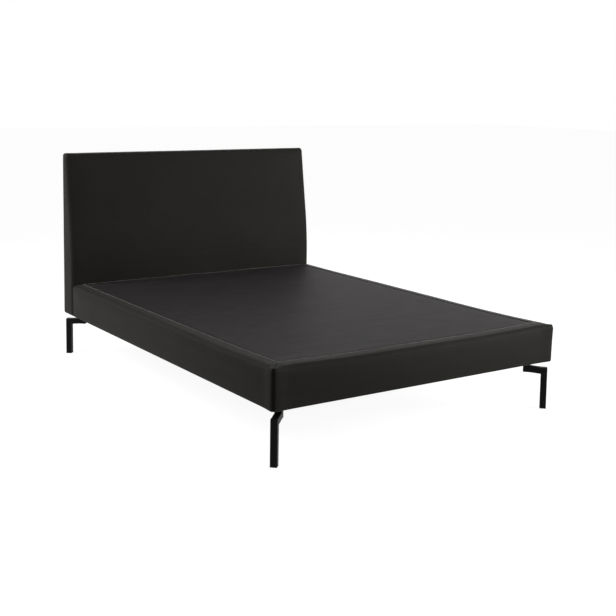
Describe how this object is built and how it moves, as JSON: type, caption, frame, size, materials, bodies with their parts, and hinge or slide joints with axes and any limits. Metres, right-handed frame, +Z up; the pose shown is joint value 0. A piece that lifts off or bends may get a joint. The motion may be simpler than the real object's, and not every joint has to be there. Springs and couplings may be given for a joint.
{
  "type": "upholstered platform bed",
  "caption": "Queen-size upholstered platform bed: padded box base with a flat cloth deck, full-width headboard with a sloping face, and Z-shaped square-tube steel legs.",
  "frame": {"origin": "on the floor, under the middle of the bed's outline", "axes": "+Z up, +Y towards the headboard, +X to the right seen from the foot end"},
  "size_m": [1.55, 2.174, 1.119],
  "materials": {
    "cover_leather": "fine-grained black leather look, semi-matt",
    "deck_cloth": "dark grey woven non-slip cloth, matt",
    "lining": "black non-woven lining, matt",
    "timber": "planed pine, bare",
    "plywood": "birch plywood, bare",
    "hardboard": "hardboard, smooth face",
    "foam": "polyurethane foam, bare",
    "black_steel": "black powder coat, satin",
    "bolt_steel": "zinc plated",
    "black_plastic": "moulded black plastic, matt"
  },
  "bodies": {
    "root": {"base_centre_beam": "timber", "base_corner_block_foot_left": "timber", "base_corner_block_foot_right": "timber", "base_corner_block_head_left": "timber", "base_corner_block_head_right": "timber", "base_dust_cover": "lining", "base_foot_rail": "timber", "base_head_rail": "timber", "base_side_rail_left": "timber", "base_side_rail_right": "timber", "base_slat_1": "timber", "base_slat_2": "timber", "base_slat_3": "timber", "base_slat_4": "timber", "base_slat_5": "timber", "centre_leg": "black_plastic", "cover_foot": "cover_leather", "cover_head": "cover_leather", "cover_left": "cover_leather", "cover_right": "cover_leather", "deck_board_foot": "plywood", "deck_board_head": "plywood", "deck_cloth": "deck_cloth", "deck_pad": "foam", "edge_foam_foot": "foam", "edge_foam_head": "foam", "edge_foam_left": "foam", "edge_foam_right": "foam", "glide_foot_left": "black_plastic", "glide_foot_right": "black_plastic", "glide_head_left": "black_plastic", "glide_head_right": "black_plastic", "headboard_back_board": "hardboard", "headboard_back_cloth": "lining", "headboard_bottom_rail": "timber", "headboard_face_board": "plywood", "headboard_foam": "foam", "headboard_front_cover": "cover_leather", "headboard_rib_centre": "plywood", "headboard_rib_left": "plywood", "headboard_rib_right": "plywood", "headboard_side_cover_left": "cover_leather", "headboard_side_cover_right": "cover_leather", "headboard_top_rail": "timber", "joining_bolt_left": "bolt_steel", "joining_bolt_right": "bolt_steel", "leg_bolt_foot_left_1": "bolt_steel", "leg_bolt_foot_left_2": "bolt_steel", "leg_bolt_foot_right_1": "bolt_steel", "leg_bolt_foot_right_2": "bolt_steel", "leg_bolt_head_left_1": "bolt_steel", "leg_bolt_head_left_2": "bolt_steel", "leg_bolt_head_right_1": "bolt_steel", "leg_bolt_head_right_2": "bolt_steel", "leg_foot_left": "black_steel", "leg_foot_right": "black_steel", "leg_head_left": "black_steel", "leg_head_right": "black_steel"}
  },
  "joints": []
}
